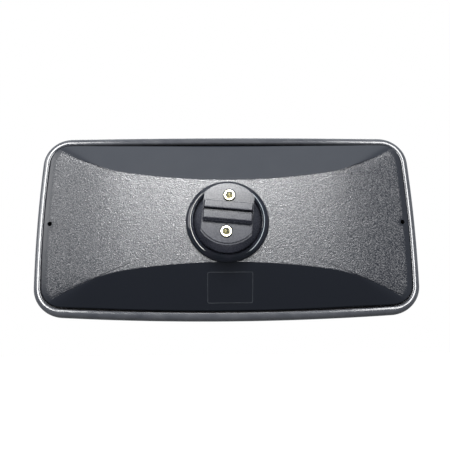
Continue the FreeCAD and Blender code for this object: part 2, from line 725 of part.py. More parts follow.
hump_curve = Part.BSplineCurve()
hump_curve.interpolate([profile_vector(point) for point in hump])
collar_sketch.addGeometry(hump_curve, False)
spigot_end = (SIZE["spigot_radius"], SIZE["spigot_low"])
spigot_root = (SIZE["spigot_radius"], crown)
for start, end, arc in ((lip, lip_step, True), (lip_step, seat_step, False), (seat_step, spigot_top, True),
                        (spigot_top, spigot_end, False), (spigot_end, spigot_root, False),
                        (spigot_root, outer_foot, False)):
    if arc:
        middle = arc_middle(start, end, (0, 0))
        collar_sketch.addGeometry(Part.Arc(profile_vector(start), profile_vector(middle),
                                           profile_vector(end)), False)
    else:
        collar_sketch.addGeometry(Part.LineSegment(profile_vector(start), profile_vector(end)), False)
collar_turn = collar.newObject("PartDesign::Revolution", "collar_turn")
collar_turn.Profile = collar_sketch
collar_turn.ReferenceAxis = (collar_sketch, ["V_Axis"])
collar_turn.Angle = 360.0
place_at_joint(collar)

seal_place = at_angle(SIZE["ball_radius"] + SIZE["joint_gap"] + SIZE["seal_section"], SIZE["seal_angle"])


def ring(name, section):
    """A ring of round section in the groove under the collar's lip."""
    torus = doc.addObject("Part::Torus", name)
    torus.Radius1 = seal_place[0]
    torus.setExpression("Radius2", section)
    torus.Placement = FreeCAD.Placement(FreeCAD.Vector(), FreeCAD.Rotation(FreeCAD.Vector(1, 0, 0), 90))
    return place_at_joint(torus, " - %.6f" % seal_place[1])


node(cut("collar_cut", collar, ring("seal_groove", "Dims.seal_section")), "socket_collar")
node(ring("seal", "Dims.seal_section"), "dust_seal")
checked("joint rings")

# ---------------------------------------------------------------- plate, spring and screws

plate_disc = drum("plate_disc", "Dims.plate_radius", PLATE_FRONT, PLATE_BACK)
plate_boss = drum("plate_boss", "Dims.plate_boss", PLATE_BACK, PLATE_BACK + " + Dims.plate_boss_height")
plate_holes = [screw_drum("plate_hole_%d" % number, "Dims.screw_radius", PLATE_FRONT, PLATE_BACK, angle)
               for number, angle in enumerate(SCREW_ANGLES, start=1)]
plate_blank = fuse("plate_blank", [plate_disc, plate_boss])
node(cut("plate", plate_blank, fuse("plate_holes", plate_holes)), "retaining_plate")

helix = doc.addObject("Part::Helix", "spring_line")
helix.setExpression("Radius", "Dims.spring_radius")
spring_room = "(Dims.spring_ceiling + Dims.socket_low - 2 * Dims.spring_wire)"
helix.setExpression("Height", spring_room)
helix.setExpression("Pitch", spring_room + " / Dims.spring_turns")
section = doc.addObject("Part::Circle", "spring_section")
section.setExpression("Radius", "Dims.spring_wire")
section.Placement = FreeCAD.Placement(FreeCAD.Vector(SIZE["spring_radius"], 0, 0),
                                      FreeCAD.Rotation(FreeCAD.Vector(1, 0, 0), 90))
spring = doc.addObject("Part::Sweep", "spring")
spring.Sections = [section]
spring.Spine = helix
spring.Solid = True
spring.Frenet = True
spring.Placement = FreeCAD.Placement(FreeCAD.Vector(), FreeCAD.Rotation(FreeCAD.Vector(1, 0, 0), 90))
place_at_joint(spring, " + Dims.socket_low - Dims.spring_wire")
node(spring, "pressure_spring")
checked("plate and spring")

WASHER_FRONT = "-Dims.socket_low - Dims.plate_thickness - Dims.washer_thickness"
for number, angle in enumerate(SCREW_ANGLES, start=1):
    washer_disc = screw_drum("washer_disc_%d" % number, "Dims.washer_radius", WASHER_FRONT, PLATE_FRONT, angle)
    washer_hole = screw_drum("washer_hole_%d" % number, "Dims.washer_hole", WASHER_FRONT, PLATE_FRONT, angle)
    node(cut("washer_%d" % number, washer_disc, washer_hole), "plate_washer_%d" % number)
    shank = screw_drum("shank_%d" % number, "Dims.screw_radius", WASHER_FRONT,
                       WASHER_FRONT + " + Dims.screw_length", angle)
    head = screw_drum("screw_head_%d" % number, "Dims.head_radius", WASHER_FRONT + " - Dims.head_height",
                      WASHER_FRONT, angle)
    node(fuse("screw_%d" % number, [shank, head]), "plate_screw_%d" % number)
checked("fasteners")

# ---------------------------------------------------------------- files

for obj in nodes:
    if obj.Shape.isNull() or not obj.Shape.isValid():
        raise RuntimeError("%s has no valid shape" % obj.Label)
os.makedirs("parts", exist_ok=True)
for obj in nodes:
    obj.Shape.exportStep("parts/%s.step" % obj.Label)
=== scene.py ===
"""Looks for a wide convex mirror head seen from behind: moulded housing, rubber edge, ball mount, convex glass.

Units are metres. MM turns the sizes below, given in millimetres, into metres. The head frame has its
origin on the rim surface at the middle of the head: x to the right, z up and depth towards the back (-Y).
"""
import json
import math

import bpy
import numpy as np
from mathutils import Matrix, Vector


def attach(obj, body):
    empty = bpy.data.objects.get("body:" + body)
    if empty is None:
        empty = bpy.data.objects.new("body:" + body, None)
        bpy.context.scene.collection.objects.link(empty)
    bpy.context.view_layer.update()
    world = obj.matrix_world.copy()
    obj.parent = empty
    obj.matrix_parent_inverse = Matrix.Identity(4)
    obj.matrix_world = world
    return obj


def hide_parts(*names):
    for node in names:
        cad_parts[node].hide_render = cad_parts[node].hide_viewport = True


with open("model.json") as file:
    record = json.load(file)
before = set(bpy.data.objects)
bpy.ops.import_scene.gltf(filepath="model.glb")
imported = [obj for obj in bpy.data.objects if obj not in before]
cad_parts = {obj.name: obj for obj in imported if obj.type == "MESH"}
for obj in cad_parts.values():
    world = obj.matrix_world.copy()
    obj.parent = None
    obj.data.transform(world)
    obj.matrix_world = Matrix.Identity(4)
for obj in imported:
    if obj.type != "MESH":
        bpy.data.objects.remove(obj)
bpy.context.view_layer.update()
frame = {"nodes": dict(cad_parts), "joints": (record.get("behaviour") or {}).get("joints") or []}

MM = 0.001

# ---------------------------------------------------------------- sizes, in millimetres

# the outline over the edge gasket: bowed sides and rounded corners, on a dished rim surface
HALF_WIDTH = 190.0
HALF_HEIGHT = 96.0
LONG_SIDE_RADIUS = 2900.0
SHORT_SIDE_RADIUS = 1100.0
CORNER_RADIUS = 30.0
RIM_RADIUS = 1800.0

# the glass: its inset from the outline and its faces; the flange behind it, all as depths from the rim surface
GLASS_INSET = 3.2
GLASS_FRONT = -5.0
GLASS_BACK = -2.0
FLANGE_BACK = 2.6

# the back of the housing: a crown, flat in the middle, between two coned flanks of equal slope
WALL_INSET = 9.7
WALL_THICKNESS = 2.6
CROWN_DEPTH = 29.0
CROWN_FLAT = 95.0
CROWN_RADIUS = 450.0
RIDGE_HALF = 41.0
RIDGE_RADIUS = 640.0
FLANK_SLOPE = math.tan(math.radians(25.6))

# rounding of the ridges at the middle, what is added at the corners, and where along x it grows
RIDGE_BLEND = 0.01
CORNER_BLEND = 5.0
BLEND_SPAN = (118.0, 166.0)

# the two vents, level with the ball
VENT_OFFSET = 174.3
VENT_RADIUS = 2.2

# the ball centre lies this far behind the rim surface and below the middle of the head
BALL_DEPTH = 13.5
BALL_DROP = 1.3

COLLAR_RADIUS = 40.6

# how the arm face stands at rest, and how far each insert is from its centre
BALL_PITCH = math.radians(5.0)
BALL_ROLL = math.radians(5.3)
INSERT_OFFSET = 18.0

JOINT = Vector(frame["joints"][0]["pos_m"])
RIM_ORIGIN = JOINT + Vector((0.0, BALL_DEPTH * MM, BALL_DROP * MM))

# points along one long side, one corner and one short side of the outline
LONG_STEPS = 150
CORNER_STEPS = 30
SHORT_STEPS = 84


# ---------------------------------------------------------------- mesh helpers

def new_object(name, vertices, faces, material, body, replaces=()):
    """A smooth-shaded mesh from numpy points in metres, riding on a CAD body."""
    mesh = bpy.data.meshes.new(name)
    mesh.from_pydata([tuple(v) for v in vertices], [], faces)
    mesh.update()
    mesh.polygons.foreach_set("use_smooth", [True] * len(mesh.polygons))
    obj = bpy.data.objects.new(name, mesh)
    bpy.context.scene.collection.objects.link(obj)
    mesh.materials.append(material)
    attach(obj, body)
    for node in replaces:
        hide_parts(node)
    return obj


def sharpen(obj, degrees):
    """Keep edges above this angle crisp."""
    obj.data.set_sharp_from_angle(angle=math.radians(degrees))


def head_points(x, z, depth):
    """Head-frame coordinates in millimetres to scene coordinates in metres."""
    return np.stack([x * MM + RIM_ORIGIN.x, RIM_ORIGIN.y - depth * MM, z * MM + RIM_ORIGIN.z], axis=-1)


def ring_faces(rings, count, closed=False):
    """Quads between neighbouring rings of points. closed joins the last ring to the first."""
    faces = []
    steps = rings if closed else rings - 1
    for ring in range(steps):
        near = ring * count
        far = ((ring + 1) % rings) * count
        for i in range(count):
            j = (i + 1) % count
            faces.append((near + i, near + j, far + j, far + i))
    return faces


def outline_arcs():
    """Centre, radius and angles of the eight tangent arcs of the bowed, rounded rectangle."""
    long_centre = HALF_HEIGHT - LONG_SIDE_RADIUS
    short_centre = HALF_WIDTH - SHORT_SIDE_RADIUS
    long_reach = LONG_SIDE_RADIUS - CORNER_RADIUS
    short_reach = SHORT_SIDE_RADIUS - CORNER_RADIUS
    span = math.hypot(short_centre, long_centre)
    along = (long_reach ** 2 - short_reach ** 2 + span ** 2) / (2 * span)
    across = math.sqrt(long_reach ** 2 - along ** 2)
    unit = (short_centre / span, -long_centre / span)
    corner = (unit[0] * along + unit[1] * across, long_centre + unit[1] * along - unit[0] * across)
    a = math.atan2(corner[1] - long_centre, corner[0])
    b = math.atan2(corner[1], corner[0] - short_centre)
    half = math.pi
    return [
        ((0, long_centre), LONG_SIDE_RADIUS, a, half - a, LONG_STEPS),
        ((-corner[0], corner[1]), CORNER_RADIUS, half - a, half - b, CORNER_STEPS),
        ((-short_centre, 0), SHORT_SIDE_RADIUS, half - b, half + b, SHORT_STEPS),
        ((-corner[0], -corner[1]), CORNER_RADIUS, half + b, half + a, CORNER_STEPS),
        ((0, -long_centre), LONG_SIDE_RADIUS, half + a, 2 * half - a, LONG_STEPS),
        ((corner[0], -corner[1]), CORNER_RADIUS, 2 * half - a, 2 * half - b, CORNER_STEPS),
        ((short_centre, 0), SHORT_SIDE_RADIUS, -b, b, SHORT_STEPS),
        (corner, CORNER_RADIUS, b, a, CORNER_STEPS),
    ]


ARCS = outline_arcs()


def outline(inset):
    """Points round the outline, drawn in by inset, which is one number or one per point."""
    centres = []
    radii = []
    angles = []
    for centre, radius, start, end, steps in ARCS:
        for i in range(steps):
            centres.append(centre)
            radii.append(radius)
            angles.append(start + (end - start) * i / steps)
    centres = np.array(centres)
    reach = np.array(radii) - inset
    angles = np.array(angles)
    return centres[:, 0] + reach * np.cos(angles), centres[:, 1] + reach * np.sin(angles)


def rim_depth(x, z, offset=0.0):
    """Depth of the rim surface, or of a surface parallel to it, at a place on the head."""
    radius = RIM_RADIUS - offset
    return RIM_RADIUS - np.sqrt(radius ** 2 - x ** 2 - z ** 2)


def smoothstep(value, low, high):
    """Ease from 0 at low to 1 at high."""
    t = np.clip((value - low) / (high - low), 0.0, 1.0)
    return t * t * (3 - 2 * t)


def smooth_min(a, b, width):
    """The lower of two surfaces, rounded where they cross."""
    return (a + b - np.sqrt((a - b) ** 2 + width ** 2)) / 2


def crown_surface(x):
    """Depth of the crown: flat in the middle, falling off on an arc towards both ends."""
    past = np.maximum(np.abs(x) - CROWN_FLAT, 0.0)
    return CROWN_DEPTH - (CROWN_RADIUS - np.sqrt(CROWN_RADIUS ** 2 - past ** 2))


def flank_surface(x, z):
    """Depth of the flanks: cones that rise to the curved ridges."""
    reach = np.hypot(x, RIDGE_HALF + RIDGE_RADIUS - np.abs(z))
    return CROWN_DEPTH - (RIDGE_RADIUS - reach) * FLANK_SLOPE


def back_surface(x, z):
    """Depth of the back of the housing: a crisp ridge that softens towards the corners."""
    blend = RIDGE_BLEND + CORNER_BLEND * smoothstep(np.abs(x), *BLEND_SPAN)
    return smooth_min(crown_surface(x), flank_surface(x, z), blend)


def lathe(name, profile, material, body, centre, segments, replaces, turn=None):
    """Revolve a closed loop of (radius, height) points, in millimetres, about a -Y axis through centre."""
    angles = np.linspace(0, 2 * math.pi, segments, endpoint=False)
    rows = []
    for radius, height in profile:
        depth = np.full(segments, -height)
        rows.append(np.stack([radius * np.cos(angles), depth, radius * np.sin(angles)], -1))
    points = np.concatenate(rows) * MM
    if turn is not None:
        points = points @ np.array(turn.to_3x3()).T
    points = points + np.array(centre)
    faces = ring_faces(len(profile), segments, True)
    return new_object(name, points, [tuple(reversed(f)) for f in faces], material, body, replaces)


def arc(centre, radius, start, end, steps):
    """Profile points on an arc, in degrees from the radius axis towards the height axis."""
    points = []
    for i in range(steps + 1):
        angle = math.radians(start + (end - start) * i / steps)
        points.append((centre[0] + radius * math.cos(angle), centre[1] + radius * math.sin(angle)))
    return points


def smooth_path(points, per, closed=False):
    """Catmull-Rom curve through points, in per steps between neighbours. A doubled point makes a corner."""
    count = len(points)
    spans = count if closed else count - 1
    out = []
    for i in range(spans):
        if closed:
            p = [points[(i + k - 1) % count] for k in range(4)]
        else:
            p = [points[min(max(i + k - 1, 0), count - 1)] for k in range(4)]
        if p[1] == p[2]:
            continue
        for step in range(per):
            t = step / per
            weights = (-t + 2 * t * t - t ** 3, 2 - 5 * t * t + 3 * t ** 3,
                       t + 4 * t * t - 3 * t ** 3, t ** 3 - t * t)
            out.append(tuple(sum(w * q[a] for w, q in zip(weights, p)) / 2 for a in (0, 1)))
    if not closed:
        out.append(tuple(points[-1]))
    return out


# ---------------------------------------------------------------- materials

# most of a noise texture's values lie between these
NOISE_LOW = 0.3
NOISE_HIGH = 0.7


class Surface:
    """A Principled material with short helpers for its node tree."""

    def __init__(self, name, colour, roughness, metallic=0.0):
        """colour and roughness are the plain values that a viewer without the textures shows."""
        self.material = bpy.data.materials.new(name)
        self.material.use_nodes = True
        self.nodes = self.material.node_tree.nodes
        self.links = self.material.node_tree.links
        self.shader = self.nodes["Principled BSDF"]
        self.shader.inputs["Base Color"].default_value = (*colour, 1.0)
        self.shader.inputs["Roughness"].default_value = roughness
        self.shader.inputs["Metallic"].default_value = metallic
        self.place = self.nodes.new("ShaderNodeTexCoord").outputs["Object"]

    def socket(self, target, value):
        """Feed a socket from another socket, or set it to a number."""
        if isinstance(value, bpy.types.NodeSocket):
            self.links.new(value, target)
        else:
            target.default_value = value

    def noise(self, size_mm, detail=2.0, rough=0.5):
        """Noise with features about this size."""
        node = self.nodes.new("ShaderNodeTexNoise")
        self.links.new(self.place, node.inputs["Vector"])
        node.inputs["Scale"].default_value = 1.0 / (size_mm * MM)
        node.inputs["Detail"].default_value = detail
        node.inputs["Roughness"].default_value = rough
        return node.outputs["Fac"]

    def cells(self, size_mm, smooth=0.6):
        """Soft rounded cells about this size, for moulded grain."""
        node = self.nodes.new("ShaderNodeTexVoronoi")
        node.feature = "SMOOTH_F1"
        self.links.new(self.place, node.inputs["Vector"])
        node.inputs["Scale"].default_value = 1.0 / (size_mm * MM)
        node.inputs["Smoothness"].default_value = smooth
        return node.outputs["Distance"]

    def combine(self, kind, a, b):
        """Join two values with a maths operation."""
        node = self.nodes.new("ShaderNodeMath")
        node.operation = kind
        self.socket(node.inputs[0], a)
        self.socket(node.inputs[1], b)
        return node.outputs[0]

    def remap(self, value, to_low, to_high, low=NOISE_LOW, high=NOISE_HIGH):
        """Spread a value that runs from low to high over a new range."""
        node = self.nodes.new("ShaderNodeMapRange")
        self.links.new(value, node.inputs["Value"])
        for label, number in zip(("From Min", "From Max", "To Min", "To Max"), (low, high, to_low, to_high)):
            node.inputs[label].default_value = number
        return node.outputs["Result"]

    def attribute(self, name):
        """A value stored with the points of the mesh."""
        node = self.nodes.new("ShaderNodeAttribute")
        node.attribute_name = name
        return node.outputs["Fac"]

    def tint(self, value, low_colour, high_colour, low=NOISE_LOW, high=NOISE_HIGH):
        """Base colour that runs between two colours with a texture value."""
        node = self.nodes.new("ShaderNodeValToRGB")
        self.links.new(value, node.inputs["Fac"])
        node.color_ramp.elements[0].position = low
        node.color_ramp.elements[0].color = (*low_colour, 1.0)
        node.color_ramp.elements[1].position = high
        node.color_ramp.elements[1].color = (*high_colour, 1.0)
        self.links.new(node.outputs["Color"], self.shader.inputs["Base Color"])

    def roughness(self, value):
        """Roughness taken from a texture value."""
        self.links.new(value, self.shader.inputs["Roughness"])

    def bump(self, layers, soft_edge_mm=0.0):
        """Stack bump layers of (height texture, depth in mm), over rounded edges if asked."""
        normal = None
        if soft_edge_mm:
            bevel = self.nodes.new("ShaderNodeBevel")
            bevel.inputs["Radius"].default_value = soft_edge_mm * MM
            normal = bevel.outputs["Normal"]
        for height, depth in layers:
            node = self.nodes.new("ShaderNodeBump")
            node.inputs["Distance"].default_value = depth * MM
            node.inputs["Strength"].default_value = 1.0
            self.links.new(height, node.inputs["Height"])
            if normal is not None:
                self.links.new(normal, node.inputs["Normal"])
            normal = node.outputs["Normal"]
        self.links.new(normal, self.shader.inputs["Normal"])


def housing_plastic():
    """Black moulded plastic: pebbled on the crown, near smooth on the flanks and the border, with painted shade
    on the wall and its fillet.
    """
    s = Surface("housing_plastic", (0.011, 0.012, 0.015), 0.42)
    grain = s.attribute("grain")
    pebbles = s.combine("MULTIPLY", s.remap(s.cells(1.2, 0.35), -0.4, 0.6, 0.0, 1.0), grain)
    dimples = s.combine("MULTIPLY", s.remap(s.noise(0.8, 1.0), -0.5, 0.5, 0.0, 1.0), grain)
    specks = s.combine("MULTIPLY", s.noise(1.0, 1.0), grain)
    s.tint(specks, (0.006, 0.007, 0.010), (0.064, 0.064, 0.067), 0.45, 0.64)
    blotch = s.remap(s.noise(22.0, 4.0), -0.015, 0.015)
    rub = s.remap(s.noise(1.4, 2.0, 0.6), -0.05, 0.05, 0.35, 0.65)
    base = s.remap(s.attribute("crown"), 0.21, 0.31, 0.0, 1.0)
    s.roughness(s.combine("ADD", s.combine("ADD", base, blotch), s.combine("MULTIPLY", rub, grain)))
    # painted shade: the wall attribute drops the specular level on the wall and its fillet, darkening them
    # where occlusion would fall
    s.socket(s.shader.inputs["Specular IOR Level"], s.remap(s.attribute("wall"), 0.5, 0.12, 0.0, 1.0))
    s.bump([(s.noise(0.35, 2.0), 0.004), (pebbles, 0.18), (dimples, 0.26)])
    return s.material


def edge_rubber():
    """Black extruded edging with faint drawing lines and a waxy bloom."""
    s = Surface("edge_rubber", (0.016, 0.017, 0.020), 0.22)
    s.tint(s.noise(14.0, 4.0), (0.013, 0.014, 0.017), (0.022, 0.023, 0.026))
    s.roughness(s.remap(s.noise(5.0, 4.0, 0.6), 0.13, 0.20))
    s.shader.inputs["Sheen Weight"].default_value = 0.05
    s.bump([(s.noise(0.5, 3.0, 0.6), 0.015), (s.noise(7.0, 2.0), 0.08)])
    return s.material


def gloss_black():
    """Polished black moulding with a trace of orange peel."""
    s = Surface("gloss_black", (0.005, 0.006, 0.008), 0.07)
    s.shader.inputs["Specular IOR Level"].default_value = 0.36
    s.tint(s.noise(12.0, 3.0), (0.003, 0.004, 0.006), (0.006, 0.006, 0.009))
    s.roughness(s.remap(s.noise(3.0, 4.0, 0.6), 0.05, 0.09))
    s.bump([(s.noise(2.4, 2.0), 0.012), (s.noise(0.4, 2.0), 0.003)])
    return s.material


def satin_black():
    """Satin black engineering plastic, spark eroded finish, softened edges."""
    s = Surface("satin_black", (0.016, 0.017, 0.022), 0.28)
    s.shader.inputs["Specular IOR Level"].default_value = 0.22
    s.tint(s.noise(9.0, 4.0), (0.013, 0.014, 0.018), (0.019, 0.020, 0.025))
    s.roughness(s.remap(s.noise(1.5, 4.0, 0.6), 0.24, 0.31))
    s.bump([(s.noise(0.45, 3.0, 0.6), 0.03)], soft_edge_mm=0.45)
    return s.material


def bearing_plastic():
    """Pale slippery bearing plastic."""
    s = Surface("bearing_plastic", (0.72, 0.71, 0.66), 0.34)
    s.tint(s.noise(6.0, 3.0), (0.66, 0.65, 0.60), (0.76, 0.75, 0.70))
    s.roughness(s.remap(s.noise(1.0, 3.0), 0.30, 0.40))
    s.shader.inputs["Subsurface Weight"].default_value = 0.1
    s.shader.inputs["Subsurface Scale"].default_value = 0.002
    s.bump([(s.noise(0.6, 3.0), 0.01)])
    return s.material


def soft_rubber():
    """Soft black sealing rubber."""
    s = Surface("soft_rubber", (0.020, 0.020, 0.021), 0.55)
    s.tint(s.noise(4.0, 3.0), (0.016, 0.016, 0.017), (0.027, 0.027, 0.028))
    s.roughness(s.remap(s.noise(2.0, 3.0), 0.50, 0.62))
    s.bump([(s.noise(0.4, 3.0), 0.02)])
    return s.material


def brass():
    """Turned brass with fine tool lines."""
    s = Surface("brass", (0.80, 0.76, 0.58), 0.24, 1.0)
    s.tint(s.noise(2.5, 4.0), (0.74, 0.70, 0.50), (0.86, 0.83, 0.67))
    s.roughness(s.remap(s.noise(0.8, 4.0), 0.20, 0.32))
    s.bump([(s.noise(0.2, 2.0), 0.004)], soft_edge_mm=0.15)
    return s.material


def plated_steel(name, colour, rough, grain_mm):
    """Plated or drawn steel with a fine grain."""
    s = Surface(name, colour, rough, 1.0)
    low = tuple(c * 0.88 for c in colour)
    s.tint(s.noise(grain_mm, 4.0, 0.6), low, colour)
    s.roughness(s.remap(s.noise(grain_mm / 2, 4.0), rough - 0.06, rough + 0.08))
    s.bump([(s.noise(grain_mm / 6, 2.0), 0.006)], soft_edge_mm=0.2)
    return s.material


def silvered_glass():
    """Second-surface mirror: clear glass over bright silvering, with the faintest haze."""
    s = Surface("silvered_glass", (0.88, 0.90, 0.89), 0.015, 1.0)
    s.tint(s.noise(60.0, 3.0), (0.86, 0.885, 0.875), (0.90, 0.915, 0.91))
    s.roughness(s.remap(s.noise(25.0, 6.0, 0.65), 0.008, 0.035, 0.45, 0.75))
    s.shader.inputs["Coat Weight"].default_value = 1.0
    s.shader.inputs["Coat Roughness"].default_value = 0.01
    s.bump([(s.noise(90.0, 1.0), 0.02)])
    return s.material


def moulded_line():
    """Matt black plastic of the raised line round the rating plate."""
    s = Surface("moulded_line", (0.019, 0.021, 0.025), 0.5)
    s.shader.inputs["Specular IOR Level"].default_value = 0.15
    s.tint(s.noise(5.0, 3.0), (0.014, 0.016, 0.019), (0.024, 0.026, 0.030))
    s.roughness(s.remap(s.noise(1.0, 3.0), 0.44, 0.56))
    s.bump([(s.noise(0.3, 2.0), 0.004)])
    return s.material


def foam():
    """Dark open foam tape."""
    s = Surface("foam", (0.07, 0.07, 0.075), 0.8)
    s.tint(s.noise(0.8, 3.0), (0.04, 0.04, 0.043), (0.11, 0.11, 0.115))
    s.bump([(s.cells(0.7, 0.3), 0.12)])
    return s.material


def film():
    """Grey safety film glued behind the glass."""
    s = Surface("film", (0.30, 0.32, 0.33), 0.3)
    s.tint(s.noise(18.0, 4.0), (0.26, 0.28, 0.29), (0.34, 0.36, 0.37))
    s.roughness(s.remap(s.noise(4.0, 3.0), 0.24, 0.40))
    s.bump([(s.noise(3.0, 2.0), 0.01)])
    return s.material


HOUSING = housing_plastic()
EDGE = edge_rubber()
GLOSS = gloss_black()
SATIN = satin_black()
BEARING = bearing_plastic()
RUBBER = soft_rubber()
BRASS = brass()
STEEL = plated_steel("plated_steel", (0.60, 0.61, 0.62), 0.32, 2.0)
SPRING = plated_steel("spring_steel", (0.34, 0.35, 0.37), 0.30, 1.2)
MIRROR = silvered_glass()
FOAM = foam()
FILM = film()
LINE = moulded_line()


# ---------------------------------------------------------------- housing

# fillet between back and wall: its radius on the long sides and at the ends, and where along x it changes
FILLET_LONG = 2.3
FILLET_END = 0.7
FILLET_SPAN = (120.0, 172.0)
FILLET_STEPS = 9

# rings of the mesh: the first starts this far under the collar, and one always lies on the ridge
COLLAR_TUCK = 0.7
CROWN_RINGS = 70
FLANK_RINGS = 46
RIDGE_HALVINGS = 40
RIDGE_ENDS = (0.03, 0.97)
RIDGE_SHARP = 14.0

# the grain leaves a plain border beside the wall, and ends where the flank drops below the crown
BORDER_PLAIN = 1.0
BORDER_BAND = 7.0
CROWN_FADE = (-0.3, 0.5)

# the shell is meshed again this far outside a vent, which has a bevel and a lip of (inward, drop) steps
HOLE_PATCH = 3.2
HOLE_STEPS = 3
HOLE_BEVEL = 0.3
HOLE_LIP = ((0.18, 0.05), (0.30, 0.25), (0.30, WALL_THICKNESS))


def crown_mask(x, z):
    """1 on the crown and 0 on the flanks."""
    return smoothstep(flank_surface(x, z) - crown_surface(x), *CROWN_FADE)


def grain_mask(x, z, inset):
    """Where the moulded grain shows: 1 on the crown, fading out at the ridges and towards the border."""
    inside = smoothstep(inset, WALL_INSET + BORDER_PLAIN, WALL_INSET + BORDER_BAND)
    return crown_mask(x, z) * inside


def ridge_crossing(start_x, start_z, end_x, end_z):
    """How far along each line the crown meets the flank, held a little inside the ends of the line."""
    low = np.zeros(len(start_x))
    high = np.ones(len(start_x))
    for _ in range(RIDGE_HALVINGS):
        middle = (low + high) / 2
        x = start_x + (end_x - start_x) * middle
        z = start_z + (end_z - start_z) * middle
        on_crown = flank_surface(x, z) > crown_surface(x)
        low = np.where(on_crown, middle, low)
        high = np.where(on_crown, high, middle)
    return np.clip(low, *RIDGE_ENDS)


def shell_rings():
    """Rings of (x, z, depth, grain) from the collar to the foot of the wall."""
    foot_x, foot_z = outline(WALL_INSET)
    fillet = FILLET_LONG + (FILLET_END - FILLET_LONG) * smoothstep(np.abs(foot_x), *FILLET_SPAN)
    edge_x, edge_z = outline(WALL_INSET + fillet)
    wall_height = back_surface(foot_x, foot_z)
    slope = (back_surface(edge_x, edge_z) - wall_height) / fillet
    tilt = np.arctan(slope)
    centre = wall_height + slope * fillet - fillet * np.sqrt(1 + slope ** 2)
    top = WALL_INSET + fillet * (1 - np.sin(tilt))
    top_x, top_z = outline(top)
    bearing = np.arctan2(top_z, top_x)
    start_x = (COLLAR_RADIUS - COLLAR_TUCK) * np.cos(bearing)
    start_z = (COLLAR_RADIUS - COLLAR_TUCK) * np.sin(bearing) - BALL_DROP
    crease = ridge_crossing(start_x, start_z, top_x, top_z)
    shares = [crease * ring / CROWN_RINGS for ring in range(CROWN_RINGS)]
    shares += [crease + (1.0 - crease) * ring / FLANK_RINGS for ring in range(FLANK_RINGS)]
    rings = []
    for t in shares:
        x = start_x + (top_x - start_x) * t
        z = start_z + (top_z - start_z) * t
        distance = np.hypot(top_x - x, top_z - z)
        rings.append((x, z, back_surface(x, z), grain_mask(x, z, top + distance)))
    for step in range(FILLET_STEPS + 1):
        turn = (math.pi / 2 - tilt) * (1 - step / FILLET_STEPS)
        inset = WALL_INSET + fillet * (1 - np.cos(turn))
        x, z = outline(inset)
        rings.append((x, z, centre + fillet * np.sin(turn), np.zeros(len(x))))
    low = rim_depth(foot_x, foot_z, FLANGE_BACK)
    for share in (0.5, 1.0):
        rings.append((foot_x, foot_z, centre + (low - centre) * share, np.zeros(len(foot_x))))
    return rings


def punch(points, faces, grain, hole_x, hole_z, radius):
    """Open a round hole through the shell, with a small bevel and the thickness of the wall.

    Adds to points and grain, and returns the faces.
    """
    reach = radius + HOLE_PATCH
    flat = np.array([[p[0], p[1]] for p in points])
    away = np.hypot(flat[:, 0] - hole_x, flat[:, 1] - hole_z)
    kept = []
    cut = set()
    for face in faces:
        middle = flat[list(face)].mean(0)
        if math.hypot(middle[0] - hole_x, middle[1] - hole_z) < reach:
            for a, b in zip(face, face[1:] + face[:1]):
                if (b, a) in cut:
                    cut.remove((b, a))
                else:
                    cut.add((a, b))
        else:
            kept.append(face)
    follow = dict(cut)
    start = min(follow)
    loop = [start]
    while follow[loop[-1]] != start:
        loop.append(follow[loop[-1]])
    bearing = [math.atan2(flat[i][1] - hole_z, flat[i][0] - hole_x) for i in loop]
    previous = loop
    profile = [(step / HOLE_STEPS, 0.0, 0.0) for step in range(1, HOLE_STEPS + 1)]
    profile += [(1.0, inward, drop) for inward, drop in HOLE_LIP]
    for share, inward, drop in profile:
        ring = []
        for place, angle in zip(loop, bearing):
            distance = away[place] + (radius + HOLE_BEVEL - away[place]) * share - inward
            x = hole_x + distance * math.cos(angle)
            z = hole_z + distance * math.sin(angle)
            height = float(back_surface(np.array(x), np.array(z)))
            ring.append(len(points))
            points.append((x, z, height - drop))
            grain.append(float(grain[place]) * (1.0 - share / 2))
        for i in range(len(loop)):
            j = (i + 1) % len(loop)
            kept.append((previous[i], previous[j], ring[j], ring[i]))
        previous = ring
    return kept


def build_housing():
    """The whole back shell, with the attributes that steer its material."""
    rings = shell_rings()
    count = len(rings[0][0])
    points = []
    grain = []
    wall = []
    for ring, (x, z, depth, mask) in enumerate(rings):
        points += list(zip(x.tolist(), z.tolist(), depth.tolist()))
        grain += mask.tolist()
        # the wall attribute marks the fillet and wall rings, where the material paints shade
        wall += [float(ring > CROWN_RINGS + FLANK_RINGS)] * count
    faces = ring_faces(len(rings), count)
    for side in (-1, 1):
        faces = punch(points, faces, grain, side * VENT_OFFSET, -BALL_DROP, VENT_RADIUS)
    wall += [0.0] * (len(points) - len(wall))
    x, z, depth = np.array(points).T
    shell = new_object("housing_shell", head_points(x, z, depth), faces, HOUSING, "mirror_head",
                       ["rear_housing"])
    on_crown = crown_mask(x, z)
    for label, values in (("grain", grain), ("crown", on_crown), ("wall", wall)):
        layer = shell.data.attributes.new(label, "FLOAT", "POINT")
        layer.data.foreach_set("value", np.array(values, np.float32))
    sharpen(shell, RIDGE_SHARP)


build_housing()


# ---------------------------------------------------------------- edge, glass

def rim_sweep(name, section, material, node):
    """Carry a closed section of (inset, depth from the rim surface) round the outline."""
    points = []
    for inset, offset in section:
        x, z = outline(inset)
        points.append(head_points(x, z, rim_depth(x, z, offset)))
    count = len(points[0])
    obj = new_object(name, np.concatenate(points), ring_faces(len(section), count, True), material,
                     "mirror_head", [node])
    return obj


